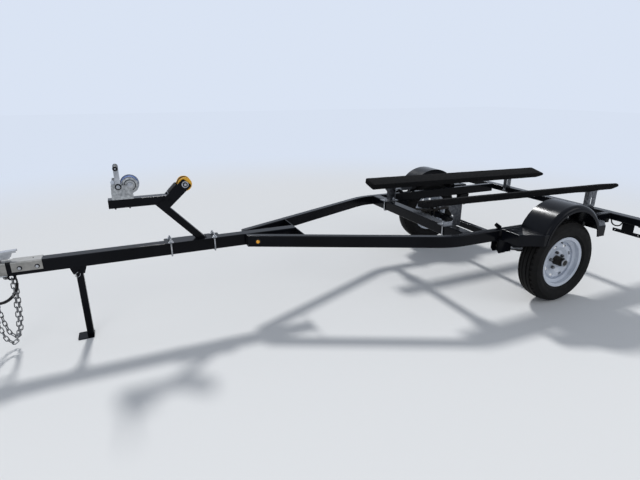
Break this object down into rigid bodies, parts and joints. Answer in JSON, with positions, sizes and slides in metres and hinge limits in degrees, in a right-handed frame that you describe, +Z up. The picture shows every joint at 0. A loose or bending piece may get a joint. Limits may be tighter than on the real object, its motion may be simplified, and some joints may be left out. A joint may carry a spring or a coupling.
{
  "type": "boat trailer",
  "caption": "Single-axle boat trailer: square-tube tongue, bent side rails, carpeted bunks, winch stand with bow roller, fendered wheels and a folding parking leg.",
  "frame": {"origin": "on the ground, under the middle of the trailer's length and width", "axes": "X from the coupler to the stern, Y to the trailer's right-hand side, Z up"},
  "size_m": [4.5716, 1.86, 1.052],
  "materials": {
    "frame_paint": "gloss black enamel",
    "zinc": "bright zinc plate",
    "chain_steel": "dull zinc plate",
    "wheel_paint": "white enamel",
    "tyre": "matte black rubber",
    "spring_paint": "satin black",
    "black_plastic": "satin moulded plastic",
    "roller_rubber": "satin yellow",
    "strap_fabric": "woven webbing",
    "bunk_carpet": "short-pile marine carpet",
    "lamp_lens": "moulded red lens",
    "amber_lens": "moulded amber lens",
    "cable_jacket": "matte jacket"
  },
  "bodies": {
    "chassis": {"tongue": "frame_paint", "left_rail": "frame_paint", "right_rail": "frame_paint", "tongue_end_plate": "frame_paint", "front_crossmember": "frame_paint", "rear_crossmember": "frame_paint", "coupler": "zinc", "coupler_latch": "zinc", "left_safety_chain": "chain_steel", "right_safety_chain": "chain_steel", "chain_anchors": "frame_paint", "chain_hooks": "chain_steel", "axle_beam": "frame_paint", "left_leaf_spring": "spring_paint", "right_leaf_spring": "spring_paint", "left_spring_hangers": "frame_paint", "right_spring_hangers": "frame_paint", "left_axle_clamp": "spring_paint", "right_axle_clamp": "spring_paint", "left_fender": "black_plastic", "right_fender": "black_plastic", "left_fender_arms": "frame_paint", "right_fender_arms": "frame_paint", "winch_stand": "frame_paint", "stand_u_bolts": "zinc", "bow_stop": "frame_paint", "roller_bolt": "zinc", "stop_bolts": "frame_paint", "winch_frame": "zinc", "left_bunk": "bunk_carpet", "right_bunk": "bunk_carpet", "left_front_bunk_bracket": "zinc", "right_front_bunk_bracket": "zinc", "bunk_u_bolts": "zinc", "left_rear_bunk_bracket": "zinc", "right_rear_bunk_bracket": "zinc", "plate_bracket": "frame_paint", "left_tail_lamp": "lamp_lens", "right_tail_lamp": "lamp_lens", "marker_lamps": "amber_lens", "leg_bracket": "frame_paint", "light_cable": "cable_jacket", "cable_grommet": "cable_jacket", "cable_plug": "cable_jacket"},
    "left_wheel_body": {"left_tyre": "tyre", "left_wheel_rim": "wheel_paint", "left_wheel_hub": "spring_paint"},
    "right_wheel_body": {"right_tyre": "tyre", "right_wheel_rim": "wheel_paint", "right_wheel_hub": "spring_paint"},
    "roller_body": {"bow_roller": "roller_rubber"},
    "drum_body": {"winch_drum": "zinc", "winch_strap": "strap_fabric"},
    "crank_body": {"winch_crank": "zinc"},
    "leg_body": {"parking_leg": "frame_paint"}
  },
  "joints": [
    {"name": "left_wheel", "type": "hinge", "parent": "chassis", "child": "left_wheel_body", "pos_m": [1.261, -0.755, 0.297], "axis": [0, 1, 0], "continuous": true},
    {"name": "right_wheel", "type": "hinge", "parent": "chassis", "child": "right_wheel_body", "pos_m": [1.261, 0.755, 0.297], "axis": [0, 1, 0], "continuous": true},
    {"name": "bow_roller", "type": "hinge", "parent": "chassis", "child": "roller_body", "pos_m": [-1.145, 0, 0.901], "axis": [0, 1, 0], "continuous": true},
    {"name": "winch_drum", "type": "hinge", "parent": "chassis", "child": "drum_body", "pos_m": [-1.451, 0, 0.92], "axis": [0, 1, 0], "continuous": true},
    {"name": "winch_crank", "type": "hinge", "parent": "chassis", "child": "crank_body", "pos_m": [-1.514, 0, 0.92], "axis": [0, 1, 0], "continuous": true},
    {"name": "parking_leg", "type": "hinge", "parent": "chassis", "child": "leg_body", "pos_m": [-1.789, 0, 0.438], "axis": [0, -1, 0], "range_deg": [0, 90]}
  ],
  "couplings": [
    {"joint": "winch_crank", "follows": "winch_drum", "ratio": -3}
  ]
}
